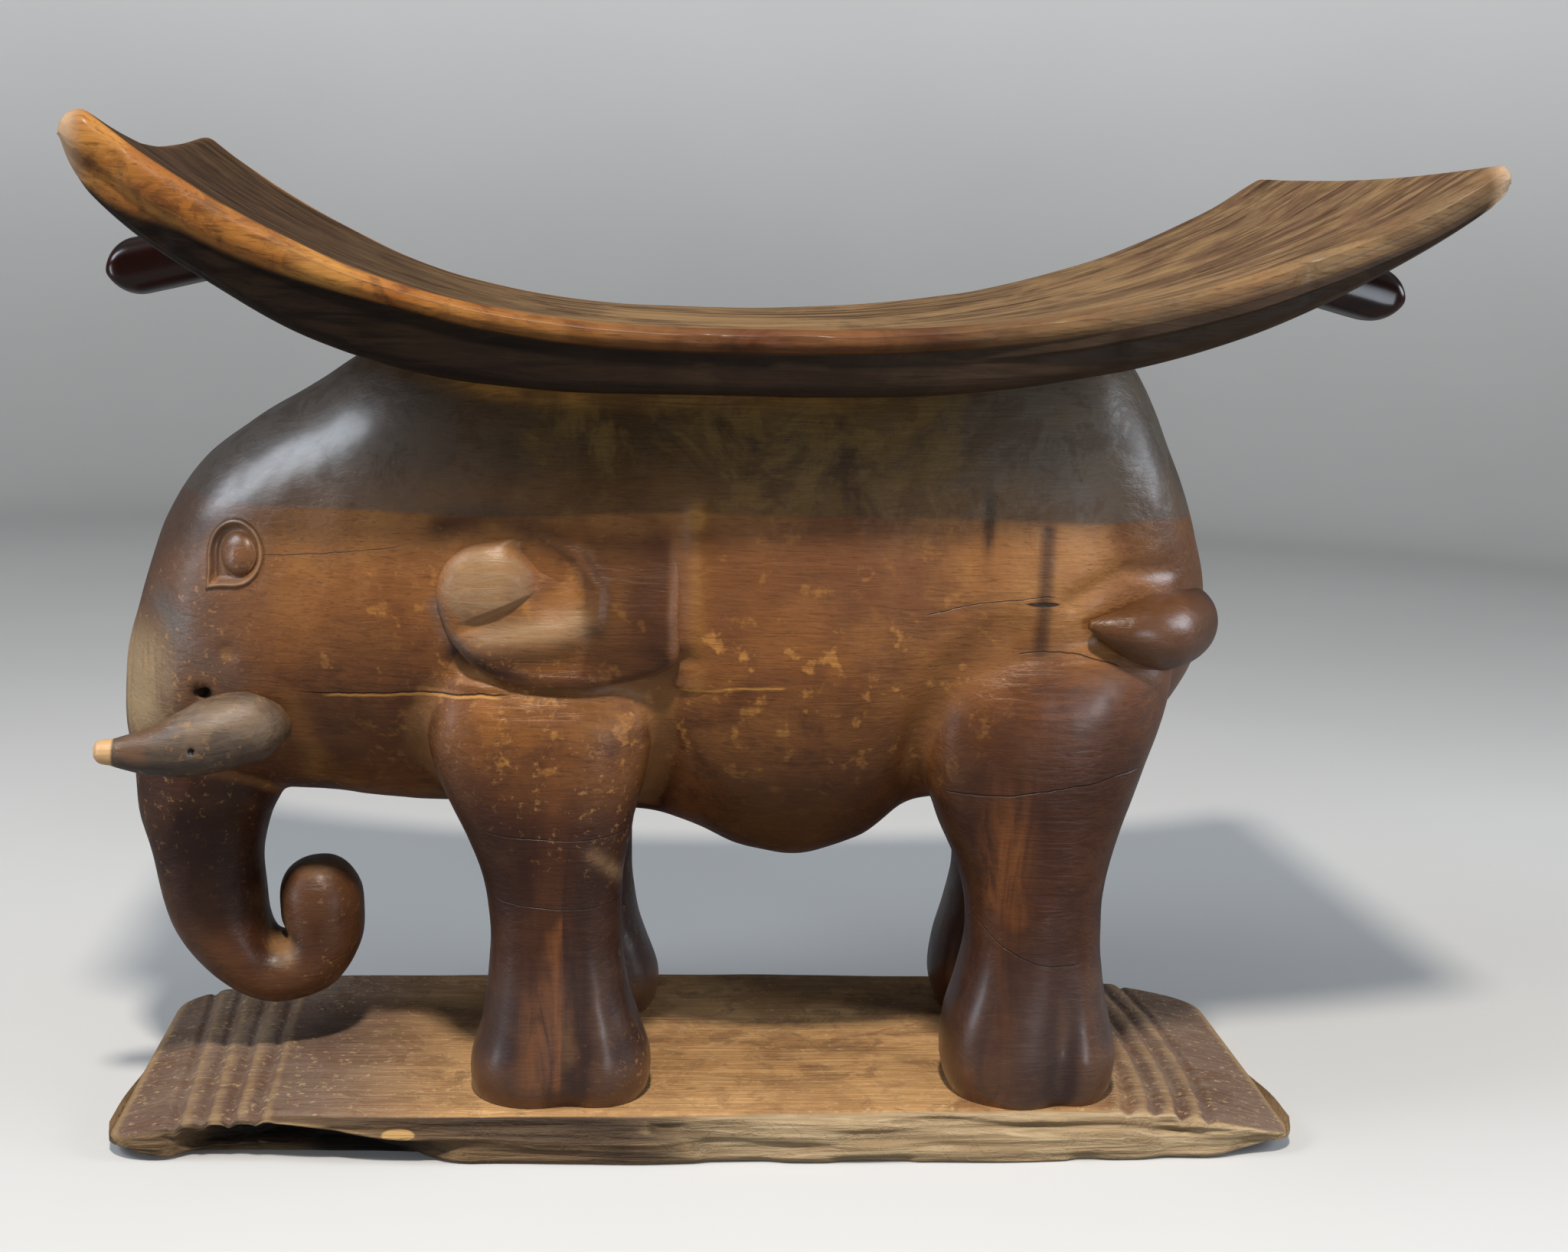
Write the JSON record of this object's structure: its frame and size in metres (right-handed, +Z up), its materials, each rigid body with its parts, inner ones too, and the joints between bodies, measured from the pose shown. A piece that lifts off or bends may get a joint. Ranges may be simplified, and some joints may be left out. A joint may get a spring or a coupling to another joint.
{
  "type": "elephant stool",
  "caption": "Low carved wooden stool: an elephant with a curled trunk stands on a slab base and carries a curved, dished seat on its back.",
  "frame": {"origin": "middle of the base's flat underside", "axes": "+Z up, the elephant looks along -X and its left side is -Y, the seat's length runs along X"},
  "size_m": [0.6198, 0.296, 0.4745],
  "materials": {
    "base_wood": "dry, dusty, worn bare hardwood with brown stains",
    "seat_wood": "waxed hardwood, streaky greyed top, rim polished orange by handling",
    "body_wood": "dark reddish-brown waxed hardwood with ochre and nearly black patches",
    "tusk_wood": "grey-brown hardwood, pale and worn at the tip"
  },
  "bodies": {
    "root": {"base_plinth": "base_wood", "seat": "seat_wood", "head_end_lug": "seat_wood", "tail_end_lug": "seat_wood", "torso": "body_wood", "head": "body_wood", "trunk": "body_wood", "tail": "body_wood", "left_ear": "body_wood", "right_ear": "body_wood", "left_eye": "body_wood", "right_eye": "body_wood", "left_tusk": "tusk_wood", "right_tusk": "tusk_wood", "left_front_leg": "body_wood", "right_front_leg": "body_wood", "left_hind_leg": "body_wood", "right_hind_leg": "body_wood"}
  },
  "joints": []
}
